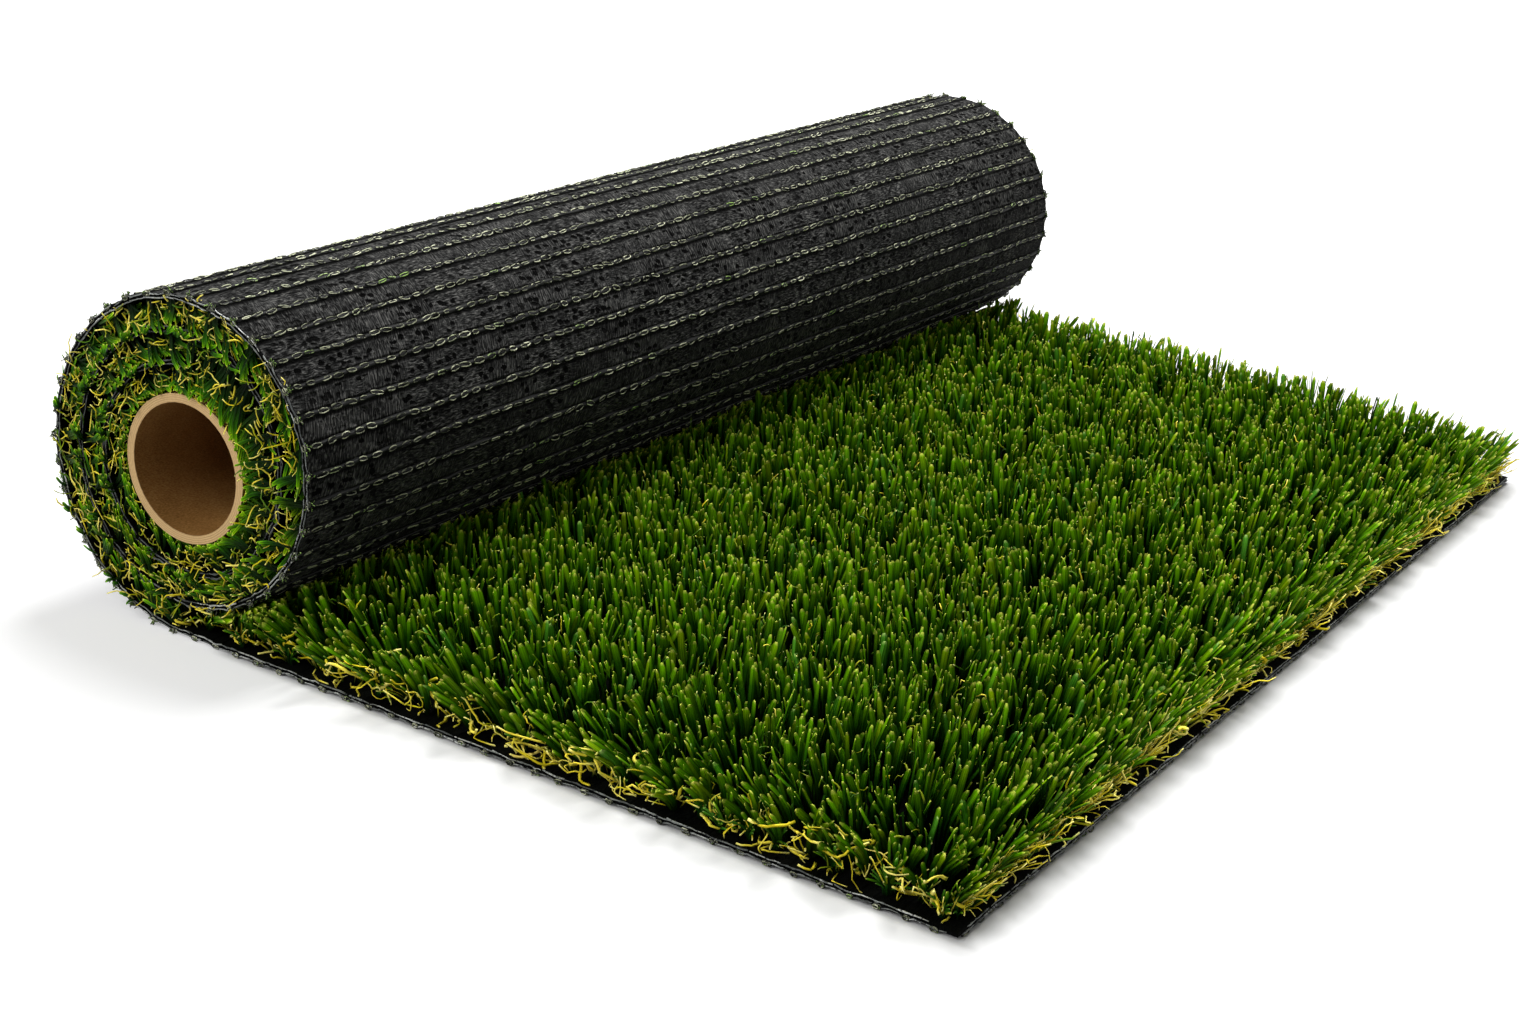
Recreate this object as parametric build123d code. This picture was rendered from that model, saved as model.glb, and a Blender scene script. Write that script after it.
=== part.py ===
from build123d import *
import os

# A partly unrolled roll of artificial turf on its cardboard core.
#
# Frame, in millimetres: +Y runs along the roll, +X points from the roll to the
# free edge of the laid stretch, +Z is up and the floor is Z = 0. The origin is
# the middle of the whole thing's footprint. Sections are drawn in X and Z with
# X = 0 under the roll's axis, and moved to roll_x when they are extruded.

# Turf as sold
turf_width = 900.0
laid_length = 500.0
wound_half_turns = 5

# Backing cloth: a primary and a secondary layer, coated together
backing_thickness = 3.0

# Grass pile: rows of tufts along the roll, with hollows between them
row_gauge = 15.9
tuft_group = 30.0
pile_hollow = 14.0
pile_height = 42.0
pressed_pile = 15.5
pile_edge_margin = 12.0
pile_splay = 10.0
pile_end_setback = 2.0

# Cardboard core
core_bore = 76.2
core_wall = 5.0
core_length = turf_width

# Fit between the pressed pile and what it lies against
clearance = 0.3

# Worked out from the sizes above
core_outer_radius = core_bore / 2 + core_wall
turn_pitch = backing_thickness + pressed_pile
inner_turn_radius = core_outer_radius + clearance + pressed_pile + backing_thickness / 2
first_turn_radius = inner_turn_radius + (wound_half_turns - 1) * turn_pitch / 2
axis_height = backing_thickness / 2 + first_turn_radius
roll_x = (axis_height - laid_length) / 2


def half_turn_arc(index, offset):
    """The arc of one half turn, moved outwards by offset from the cloth's middle."""
    radius = first_turn_radius - index * turn_pitch / 2 + offset
    goes_up = index % 2 == 0
    centre_z = axis_height if goes_up else axis_height + turn_pitch / 2
    side = -radius if goes_up else radius
    low = (0, centre_z - radius)
    high = (0, centre_z + radius)
    middle = (side, centre_z)
    if goes_up:
        return ThreePointArc(low, middle, high)
    return ThreePointArc(high, middle, low)


def turf_line(offset):
    """The laid run and the winding as one chain of edges, at an offset from the middle."""
    run_z = backing_thickness / 2 - offset
    edges = [Line((laid_length, run_z), (0, run_z))]
    for index in range(wound_half_turns):
        edges.append(half_turn_arc(index, offset))
    return edges


def cloth_section(half_thickness):
    """The section of the sheet: laid run, spiral turns and its two square ends."""
    outer = turf_line(half_thickness)
    inner = turf_line(-half_thickness)
    inner_end = Line(outer[-1] @ 1, inner[-1] @ 1)
    free_end = Line(outer[0] @ 0, inner[0] @ 0)
    return make_face(outer + inner + [inner_end, free_end])


def along_roll(section, length):
    """Extrude a section drawn in X and Z along the roll, centred on the origin."""
    upright = Plane(origin=(roll_x, length / 2, 0), x_dir=(1, 0, 0), z_dir=(0, -1, 0))
    return extrude(upright * section, amount=length)


def make_core_tube():
    ring = Circle(core_outer_radius) - Circle(core_bore / 2)
    return along_roll(Pos(0, axis_height) * ring, core_length)


def make_backing():
    return along_roll(cloth_section(backing_thickness / 2), turf_width)


def make_pile_wound():
    """The pile pressed between the turns: all that the cloth and the core leave free."""
    outermost = [half_turn_arc(index, -backing_thickness / 2 - clearance) for index in range(2)]
    seam = Line(outermost[1] @ 1, outermost[0] @ 0)
    inside_first_turn = make_face(outermost + [seam])
    around_cloth = cloth_section(backing_thickness / 2 + clearance)
    around_core = Pos(0, axis_height) * Circle(core_outer_radius + clearance)
    section = inside_first_turn - around_cloth - around_core
    return along_roll(section, turf_width - 2 * pile_end_setback)


def tuft_profile(peaks, tip_z):
    """A zigzag from peak to peak, with a hollow halfway between neighbours."""
    points = [(peaks[0], tip_z)]
    for here, there in zip(peaks, peaks[1:]):
        points.append(((here + there) / 2, tip_z - pile_hollow))
        points.append((there, tip_z))
    return points


def row_peaks(foot_x, free_x):
    """Where the rows' tips stand, from the roll to the free edge; the last two lean out."""
    rows = int((foot_x - free_x) / row_gauge)
    peaks = [foot_x - row * row_gauge for row in range(rows)]
    peaks[0] += pile_splay
    peaks[1] += pile_splay / 2
    return [free_x] + peaks[::-1]


def group_peaks(half_foot):
    """Where the tufts gather across the turf; the end ones lean out."""
    groups = round(2 * half_foot / tuft_group)
    step = 2 * half_foot / groups
    inner = [step * (group + 0.5) - half_foot for group in range(1, groups - 1)]
    return [-half_foot - pile_splay] + inner + [half_foot + pile_splay]


def make_pile_laid():
    """The standing tufts, splayed over their margin and bent down under the roll."""
    foot_z = backing_thickness + clearance
    tip_z = backing_thickness + pile_height
    roll_radius = first_turn_radius - turn_pitch / 2 + backing_thickness / 2 + clearance
    roll_centre_z = axis_height + turn_pitch / 2
    free_x = (roll_radius ** 2 - (roll_centre_z - tip_z) ** 2) ** 0.5
    foot_x = laid_length - pile_edge_margin
    pressed_z = roll_centre_z - roll_radius
    rows = tuft_profile(row_peaks(foot_x, free_x), tip_z)
    outline = [
        TangentArc((0, pressed_z), (free_x, tip_z), tangent=(1, 0)),
        Polyline(*rows),
        Line(rows[-1], (foot_x, foot_z)),
        Line((foot_x, foot_z), (0, foot_z)),
        Line((0, foot_z), (0, pressed_z)),
    ]
    slab = along_roll(make_face(outline), turf_width)
    half_foot = turf_width / 2 - pile_edge_margin
    groups = tuft_profile(group_peaks(half_foot), tip_z)
    across = Polygon((half_foot, foot_z), *groups[::-1], (-half_foot, foot_z), align=None)
    sideways = Plane(origin=(roll_x, 0, 0), x_dir=(0, 1, 0), z_dir=(1, 0, 0))
    return slab & extrude(sideways * across, amount=laid_length)


os.makedirs("parts", exist_ok=True)
export_step(make_core_tube(), "parts/core_tube.step")
export_step(make_backing(), "parts/backing.step")
export_step(make_pile_wound(), "parts/pile_wound.step")
export_step(make_pile_laid(), "parts/pile_laid.step")
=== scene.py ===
import math

import bpy
import numpy as np
from mathutils import Matrix, Vector


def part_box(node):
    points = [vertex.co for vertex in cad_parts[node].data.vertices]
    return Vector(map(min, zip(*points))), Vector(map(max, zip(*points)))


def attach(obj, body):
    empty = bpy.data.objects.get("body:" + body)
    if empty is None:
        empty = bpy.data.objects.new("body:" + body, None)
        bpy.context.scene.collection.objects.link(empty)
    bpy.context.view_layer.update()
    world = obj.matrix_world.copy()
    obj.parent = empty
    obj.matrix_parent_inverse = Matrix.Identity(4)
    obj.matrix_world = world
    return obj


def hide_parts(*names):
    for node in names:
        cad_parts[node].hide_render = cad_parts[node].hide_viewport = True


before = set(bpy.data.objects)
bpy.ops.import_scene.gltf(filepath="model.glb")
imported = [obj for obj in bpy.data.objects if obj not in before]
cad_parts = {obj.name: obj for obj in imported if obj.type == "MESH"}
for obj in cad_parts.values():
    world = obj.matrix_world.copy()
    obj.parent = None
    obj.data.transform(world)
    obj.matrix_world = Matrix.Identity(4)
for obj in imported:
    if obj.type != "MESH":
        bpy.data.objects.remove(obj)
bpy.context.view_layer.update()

# Sizes read from the frame, in metres
BACKING_LOW, BACKING_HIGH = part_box("backing")
CORE_LOW, CORE_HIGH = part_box("core_tube")
PILE_GAP = 0.0003
HALF_TURNS = 5

NEAR_Y = BACKING_LOW.y
FAR_Y = BACKING_HIGH.y
FREE_X = BACKING_HIGH.x
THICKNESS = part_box("pile_laid")[0].z - PILE_GAP
AXIS_Z = BACKING_HIGH.z / 2
AXIS_X = BACKING_LOW.x + AXIS_Z
CORE_RADIUS = (CORE_HIGH.z - CORE_LOW.z) / 2
FIRST_RADIUS = AXIS_Z - THICKNESS / 2
PITCH = (FIRST_RADIUS - CORE_RADIUS - PILE_GAP + THICKNESS / 2) / 3
LAID_LENGTH = FREE_X - AXIS_X

# Yarn and stitching, in metres
ROW_GAUGE = 0.0159
STITCH_STEP = 0.0100
EDGE_MARGIN = 0.012
BLADES_A_TUFT = 6
BLADE_LENGTH = 0.0430
BLADE_WIDTH = 0.0036
CURL_WIDTH = 0.0015
LINK_LENGTH = 0.0098
LINK_WIDTH = 0.0014
STITCH_PROUD = 0.0018
ROOT_SUNK = 0.0004

# Bands along the open edges, measured in from the outermost tufts
EDGE_BAND = 0.018
FOOT_BAND = 0.008

# The sheet's two cut ends: name, place and way out
SHEET_ENDS = (("near", NEAR_Y, -1), ("far", FAR_Y, 1))

# The way out over the near, far and free edge of the laid stretch
OPEN_EDGES = ((0, -1), (0, 1), (1, 0))

# Yarn along those edges: fanned strands a tuft, their length and slopes, low curls and their length
EDGE_YARNS = (
    (7, 0.030, (0.3, 1.15), 5, 0.034),
    (6, 0.034, (0.3, 1.15), 3, 0.024),
    (9, 0.036, (0.2, 0.95), 1, 0.018),
)

# Thatch among the blades: share of the tufts, lowest and highest place, tints
INNER_THATCH = (
    (0.7, 0.022, 0.041, (0.0, 0.36)),
    (0.1, 0.024, 0.040, (0.36, 0.9)),
)

# Layers of tufts on the roll's ends: depth in from the end, and blades a tuft
WOUND_LAYERS = ((0.003, 14), (0.010, 9), (0.018, 5))

# The palette: each tint is one row of the shared map
TINT_ROWS = 64
BAKE_MAP = "OFBake"

UP = np.array([0.0, 0.0, 1.0])
WHITE = (1.0, 1.0, 1.0, 1.0)

random = np.random.default_rng(20)


def half_turn_radius(index):
    return FIRST_RADIUS - index * PITCH / 2


HALF_TURN_ENDS = np.cumsum([math.pi * half_turn_radius(index) for index in range(HALF_TURNS)])
WOUND_LENGTH = HALF_TURN_ENDS[-1]
OUTER_LENGTH = HALF_TURN_ENDS[1]


def sheet_frame(run):
    """Middle of the cloth, its direction and its pile side, for distances along the sheet.

    run is 0 under the roll's axis, negative on the laid stretch and positive in the winding.
    """
    run = np.asarray(run, float)
    index = np.clip(np.searchsorted(HALF_TURN_ENDS, run), 0, HALF_TURNS - 1)
    radius = FIRST_RADIUS - index * PITCH / 2
    start = np.where(index > 0, HALF_TURN_ENDS[np.maximum(index - 1, 0)], 0.0)
    angle = index * math.pi + (run - start) / radius
    centre_z = AXIS_Z + np.where(index % 2 == 1, PITCH / 2, 0.0)
    laid = run < 0
    x = np.where(laid, AXIS_X - run, AXIS_X - radius * np.sin(angle))
    z = np.where(laid, THICKNESS / 2, centre_z - radius * np.cos(angle))
    flat = np.zeros_like(run)
    along = np.stack([np.where(laid, -1, -np.cos(angle)), flat, np.where(laid, 0, np.sin(angle))], -1)
    inward = np.stack([np.where(laid, 0, np.sin(angle)), flat, np.where(laid, 1, np.cos(angle))], -1)
    return np.stack([x, flat, z], -1), along, inward


def sheet_point(run, y, height):
    """A point at a height above the middle of the cloth, on its pile side."""
    middle, _, inward = sheet_frame(run)
    point = middle + inward * np.asarray(height, float)[..., None]
    point[..., 1] = y
    return point


def add_object(name, data):
    made = bpy.data.objects.new(name, data)
    bpy.context.scene.collection.objects.link(made)
    return made


def unit(vectors):
    return vectors / np.maximum(np.linalg.norm(vectors, axis=-1, keepdims=True), 1e-9)


def smooth_field(x, y, seed, size):
    """A smooth random value from -1 to 1 that changes over about the given size."""
    waves = np.random.default_rng(seed)
    total = np.zeros(np.broadcast(x, y).shape)
    for _ in range(7):
        turn = waves.uniform(0, 2 * math.pi)
        pace = waves.uniform(0.6, 1.6) * 2 * math.pi / size
        total += np.sin((x * math.cos(turn) + y * math.sin(turn)) * pace + waves.uniform(0, 6.3))
    return total / 4


class Strands:
    """Many thin three-sided strands gathered into one mesh."""

    SIDES = 3

    def __init__(self):
        self.points = []
        self.faces = []
        self.corners = []
        self.count = 0
        self.rounded = []

    def add(self, path, width, depth, facing, tint, closed=False, places=None, first=0.0):
        """Strands along path, an array of strands x rings x 3.

        places are the rings' places in the colour map. Strands that are given them are blades
        with flat sides, and the others are round and start at first.
        """
        strands, rings, _ = path.shape
        width = np.broadcast_to(width, (strands, rings))
        depth = np.broadcast_to(depth, (strands, rings))
        facing = np.broadcast_to(facing, path.shape) if facing.ndim == 3 else facing[:, None, :]
        if closed:
            ahead = np.roll(path, -1, 1) - np.roll(path, 1, 1)
        else:
            ahead = np.gradient(path, axis=1)
        ahead = unit(ahead)
        side = unit(np.cross(ahead, facing))
        front = np.cross(side, ahead)
        ring = np.stack(
            [
                path - side * width[..., None] / 2,
                path + front * depth[..., None],
                path + side * width[..., None] / 2,
            ],
            2,
        )
        self.points.append(ring.reshape(-1, 3))
        rounded = places is None
        if rounded:
            places = np.linspace(first, 1, rings + 1 if closed else rings)
        self._join(strands, rings, tint, closed, places, rounded)
        self.count += strands * rings * self.SIDES

    def _keep(self, faces, corners, rounded):
        self.faces.append(faces)
        self.corners.append(corners.reshape(-1, 2))
        self.rounded.append(np.full(len(faces), rounded))

    def _join(self, strands, rings, tint, closed, places, rounded):
        spans = rings if closed else rings - 1
        strand = np.arange(strands)[:, None, None]
        span = np.arange(spans)[None, :, None]
        side = np.arange(self.SIDES)[None, None, :]
        base = self.count + strand * rings * self.SIDES
        here = base + span * self.SIDES
        there = base + (span + 1) % rings * self.SIDES
        after = (side + 1) % self.SIDES
        quads = np.stack([here + side, here + after, there + after, there + side], -1)
        across = np.array([0.12, 0.5, 0.88])
        row = (np.floor(np.asarray(tint) * TINT_ROWS) % TINT_ROWS)[:, None, None]
        low = np.broadcast_to((row + across[side]) / TINT_ROWS, quads.shape[:3])
        high = np.broadcast_to((row + across[after]) / TINT_ROWS, quads.shape[:3])
        spread = 0.01 + 0.98 * places
        begin = np.broadcast_to(spread[span], quads.shape[:3])
        end = np.broadcast_to(spread[span + 1], quads.shape[:3])
        pairs = ((begin, low), (begin, high), (end, high), (end, low))
        corners = np.stack([np.stack(pair, -1) for pair in pairs], 3)
        self._keep(quads.reshape(-1, 4), corners, rounded)
        if not closed:
            self._cap(base[:, 0, 0], row[:, 0, 0], rings, rounded)

    def _cap(self, base, row, rings, rounded):
        """Close both ends of each strand with one triangle."""
        last = base + (rings - 1) * self.SIDES
        for first, order, place in ((base, (2, 1, 0), 0.01), (last, (0, 1, 2), 0.99)):
            v = np.stack([(row + across) / TINT_ROWS for across in (0.3, 0.5, 0.7)], -1)
            u = np.broadcast_to(np.array([place, place + 0.004, place]), v.shape)
            self._keep(np.stack([first + step for step in order], -1), np.stack([u, v], -1), rounded)

    def build(self, name, material):
        mesh = bpy.data.meshes.new(name)
        points = np.concatenate(self.points)
        points[:, 2] = np.maximum(points[:, 2], -STITCH_PROUD)
        mesh.vertices.add(len(points))
        mesh.vertices.foreach_set("co", points.astype(np.float32).ravel())
        sizes = np.concatenate([np.full(len(part), part.shape[1]) for part in self.faces])
        mesh.loops.add(int(sizes.sum()))
        mesh.loops.foreach_set("vertex_index", np.concatenate([part.ravel() for part in self.faces]))
        mesh.polygons.add(len(sizes))
        mesh.polygons.foreach_set("loop_start", np.concatenate([[0], np.cumsum(sizes)[:-1]]))
        mesh.polygons.foreach_set("loop_total", sizes)
        mesh.update()
        mesh.polygons.foreach_set("use_smooth", np.concatenate(self.rounded))
        layer = mesh.uv_layers.new(name=BAKE_MAP)
        layer.data.foreach_set("uv", np.concatenate(self.corners).astype(np.float32).ravel())
        mesh.materials.append(material)
        mesh.validate()
        return add_object(name, mesh)


class Value:
    """A socket that takes part in plain expressions."""

    def __init__(self, shade, socket):
        self.shade = shade
        self.socket = socket

    def _math(self, operation, *values):
        node = self.shade.node("ShaderNodeMath", {"operation": operation}, dict(enumerate(values)))
        return Value(self.shade, node.outputs[0])

    def __add__(self, other):
        return self._math("ADD", self, other)

    __radd__ = __add__

    def __sub__(self, other):
        return self._math("SUBTRACT", self, other)

    def __rsub__(self, other):
        return self._math("SUBTRACT", other, self)

    def __mul__(self, other):
        return self._math("MULTIPLY", self, other)

    __rmul__ = __mul__

    def __truediv__(self, other):
        return self._math("DIVIDE", self, other)

    def __pow__(self, other):
        return self._math("POWER", self, other)

    def __lt__(self, other):
        return self._math("LESS_THAN", self, other)

    def __gt__(self, other):
        return self._math("GREATER_THAN", self, other)

    def apply(self, operation, *others):
        return self._math(operation, self, *others)

    def hypot(self, other):
        return (self * self + other * other).apply("SQRT")


class Shade:
    """The nodes of one material, or of the world."""

    def __init__(self, owner, closing="ShaderNodeOutputMaterial"):
        owner.use_nodes = True
        self.owner = owner
        self.tree = owner.node_tree
        self.tree.nodes.clear()
        self.output = self.tree.nodes.new(closing)

    def node(self, kind, settings, sockets):
        """A node with its settings made first, then its sockets filled or linked."""
        made = self.tree.nodes.new(kind)
        for name, value in settings.items():
            if name == "stops":
                self._set_stops(made.color_ramp, value)
            else:
                setattr(made, name, value)
        for name, value in sockets.items():
            self.fill(made.inputs[name], value)
        return made

    def _set_stops(self, ramp, stops):
        while len(ramp.elements) < len(stops):
            ramp.elements.new(0.5)
        for element, (place, tint) in zip(ramp.elements, stops.items()):
            element.position = place
            element.color = shown(*tint)

    def fill(self, socket, value):
        if isinstance(value, Value):
            self.tree.links.new(value.socket, socket)
        elif isinstance(value, bpy.types.NodeSocket):
            self.tree.links.new(value, socket)
        else:
            socket.default_value = value

    def value(self, kind, settings, sockets, output=0):
        return Value(self, self.node(kind, settings, sockets).outputs[output])

    def noise(self, vector, scale, detail=2.0, roughness=0.5):
        sockets = {"Vector": vector, "Scale": scale, "Detail": detail, "Roughness": roughness}
        return self.value("ShaderNodeTexNoise", {}, sockets)

    def place(self):
        """The point on the object: whole, and its x, y and z."""
        whole = self.node("ShaderNodeTexCoord", {}, {}).outputs["Object"]
        parts = self.node("ShaderNodeSeparateXYZ", {}, {"Vector": whole})
        return whole, *(Value(self, part) for part in parts.outputs)

    def ramp(self, factor, stops):
        return self.value("ShaderNodeValToRGB", {"stops": stops}, {"Fac": factor})

    def steps(self, factor, low, high):
        """0 below low, 1 above high and a smooth rise between."""
        sockets = {"Value": factor, "From Min": low, "From Max": high}
        return self.value("ShaderNodeMapRange", {"interpolation_type": "SMOOTHSTEP"}, sockets)

    def mix(self, factor, first, second, blend="MIX"):
        sockets = {0: factor, 6: first, 7: second}
        return self.value("ShaderNodeMix", {"data_type": "RGBA", "blend_type": blend}, sockets, 2)

    def scaled(self, tint, amount):
        """A colour made lighter or darker as a whole."""
        return self.value("ShaderNodeVectorMath", {"operation": "SCALE"}, {0: tint, "Scale": amount})

    def vector(self, x, y, z):
        return self.value("ShaderNodeCombineXYZ", {}, {"X": x, "Y": y, "Z": z})

    def bump(self, height, strength, distance):
        sockets = {"Height": height, "Strength": strength, "Distance": distance}
        return self.value("ShaderNodeBump", {}, sockets)

    def close(self, shader):
        self.tree.links.new(shader.outputs[0], self.output.inputs["Surface"])
        return self.owner

    def finish(self, base, roughness, specular=0.5, **more):
        """The closing shader, joined to the material's output."""
        sockets = {"Base Color": base, "Roughness": roughness, "Specular IOR Level": specular, **more}
        return self.close(self.node("ShaderNodeBsdfPrincipled", {}, sockets))


def shown(red, green, blue):
    """A colour given as it looks on screen, from 0 to 255, turned into light."""
    return (*(((part / 255 + 0.055) / 1.055) ** 2.4 for part in (red, green, blue)), 1.0)


def strand_map(shade):
    """Place along the strand, the strand's tint, a second random value and the place across."""
    uv = shade.node("ShaderNodeUVMap", {"uv_map": BAKE_MAP}, {})
    parts = shade.node("ShaderNodeSeparateXYZ", {}, {"Vector": uv.outputs[0]})
    along = Value(shade, parts.outputs[0])
    rows = Value(shade, parts.outputs[1]) * TINT_ROWS
    across = rows.apply("FRACT")
    row = rows.apply("FLOOR")
    tint = (row + 0.5) / TINT_ROWS
    other = shade.value("ShaderNodeTexWhiteNoise", {"noise_dimensions": "1D"}, {"W": row + 91.5})
    return along, tint, other, across


def grass_material(name, depth, level, crest, sides):
    """Satin green yarn: painted shade down to nearly black at the foot, and a small pale tip that is partly
    the cut end and partly a painted highlight.
    """
    shade = Shade(bpy.data.materials.new(name))
    along, tint, other, across = strand_map(shade)
    # depth sets how far up the blade the painted shade at the foot reaches; each ramp runs from that shade
    # to the pale tip
    height = along ** depth
    deep = shade.ramp(
        height,
        {0.0: (2, 7, 1), 0.4: (15, 47, 1), 0.72: (50, 106, 3), 0.94: (118, 182, 4), 0.985: (238, 252, 98)},
    )
    olive = shade.ramp(
        height,
        {0.0: (5, 8, 1), 0.4: (32, 56, 1), 0.72: (82, 122, 3), 0.94: (152, 186, 8), 0.985: (248, 248, 112)},
    )
    blue = shade.ramp(
        height,
        {0.0: (4, 14, 2), 0.5: (26, 78, 10), 0.94: (88, 160, 40), 0.985: (190, 228, 120)},
    )
    body = shade.mix(shade.steps(tint, 0.7, 1.0), deep, olive)
    body = shade.mix(tint < 0.05, body, blue)
    streak = shade.noise(shade.vector(along * 3.0, across * 14.0, other * 40.0), 1.0, 2.0)
    edge = (across - 0.5).apply("ABSOLUTE")
    rib_grooves_and_shade = (across * 27.0).apply("SINE")
    tone = (0.6 + other * 0.7) * (0.7 + streak * 0.6) * level
    # crest and sides paint highlight and shade across the blade, at its ridge and at its edges; the rib
    # grooves add painted rib shading
    tone = tone * (crest + shade.steps(edge, 0.08, 0.38) * (sides - crest) + rib_grooves_and_shade * 0.17)
    ribs = shade.bump(rib_grooves_and_shade * 0.5 + shade.steps(edge, 0.25, 0.38), 0.3, 0.0005)
    return shade.finish(shade.scaled(body, tone), 0.36 + streak * 0.2, 0.05, Normal=ribs)


def thatch_material():
    """Crimped yarn: green and olive tints first, then straw, then tan; dark olive towards the root, and a
    pale tip painted as a highlight.
    """
    shade = Shade(bpy.data.materials.new("thatch_yarn"))
    along, tint, other, across = strand_map(shade)
    body = shade.ramp(
        tint,
        {
            0.0: (34, 84, 8),
            0.2: (84, 126, 12),
            0.34: (160, 168, 14),
            0.42: (228, 206, 30),
            0.7: (252, 232, 74),
            0.95: (255, 240, 126),
            1.0: (214, 150, 44),
        },
    )
    body = shade.mix(shade.steps(along, 0.15, 0.75), shown(34, 60, 6), body)
    # Painted highlight: the yarn turns pale at its tip
    body = shade.mix(shade.steps(along, 0.86, 0.98) * 0.7, body, shown(252, 244, 150))
    streak = shade.noise(shade.vector(along * 6.0, across * 6.0, other * 30.0), 1.0, 2.0)
    tone = (1.2 + other * 0.4) * (0.75 + streak * 0.5)
    ribs = shade.bump((across * 25.0).apply("SINE"), 0.2, 0.0003)
    return shade.finish(shade.scaled(body, tone), 0.4 + streak * 0.2, 0.2, Normal=ribs)


def stitch_material():
    """Yarn locked in the coating: black and grey green, in places pale or yellow green, with painted shade
    along each strand's sides.
    """
    shade = Shade(bpy.data.materials.new("stitch_yarn"))
    along, tint, other, across = strand_map(shade)
    body = shade.ramp(
        tint,
        {
            0.0: (4, 5, 4),
            0.15: (24, 26, 20),
            0.4: (108, 111, 94),
            0.7: (196, 200, 166),
            0.93: (246, 248, 214),
            1.0: (150, 196, 80),
        },
    )
    smear = shade.noise(shade.vector(along * 7.0, across * 3.0, other * 50.0), 1.0, 3.0, 0.6)
    sunk = shade.steps(smear, 0.49, 0.56)
    # Painted shade along the strand's sides, which leaves a thin painted highlight down its middle
    side = shade.steps((across - 0.5).apply("ABSOLUTE"), 0.14, 0.38)
    joint = shade.steps(((along * 2.0).apply("FRACT") - 0.5).apply("ABSOLUTE"), 0.34, 0.46)
    coated_and_side_shade = shade.mix((sunk + side + joint).apply("MINIMUM", 1.0), body, shown(6, 7, 5))
    return shade.finish(coated_and_side_shade, 0.42 + smear * 0.2, 0.15, Normal=shade.bump(smear, 0.3, 0.0004))


def thread_material():
    """Frayed ends of the woven cloth, grey, with pale stretches painted in as highlights."""
    shade = Shade(bpy.data.materials.new("edge_thread"))
    along, tint, other, _ = strand_map(shade)
    body = shade.ramp(
        tint,
        {0.0: (44, 47, 46), 0.4: (88, 92, 90), 0.75: (150, 154, 150), 1.0: (236, 238, 234)},
    )
    smear = shade.noise(shade.vector(along * 9.0, other * 40.0, 0.0), 1.0, 2.0)
    dirty = shade.mix(shade.steps(smear, 0.53, 0.68), body, shown(24, 25, 27))
    return shade.finish(dirty, 0.45 + smear * 0.2)


def sheet_place(x, z):
    """Distance along the outer turn for any point on it, and 1 on its pile side."""
    right = x > AXIS_X
    centre_z = AXIS_Z + right * (PITCH / 2)
    angle = (AXIS_X - x).apply("ARCTAN2", centre_z - z)
    turned = angle + (angle < 0.0) * (2 * math.pi)
    wound = turned * FIRST_RADIUS - right * (turned - math.pi) * (PITCH / 2)
    flat = right * (z < THICKNESS * 1.2)
    run = wound * (1 - flat) + (AXIS_X - x) * flat
    reach = (x - AXIS_X).hypot(z - centre_z)
    turn_radius = FIRST_RADIUS - right * (PITCH / 2)
    inside = (turn_radius > reach) * (1 - flat) + flat * (z > THICKNESS * 0.5)
    return run, inside


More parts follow.
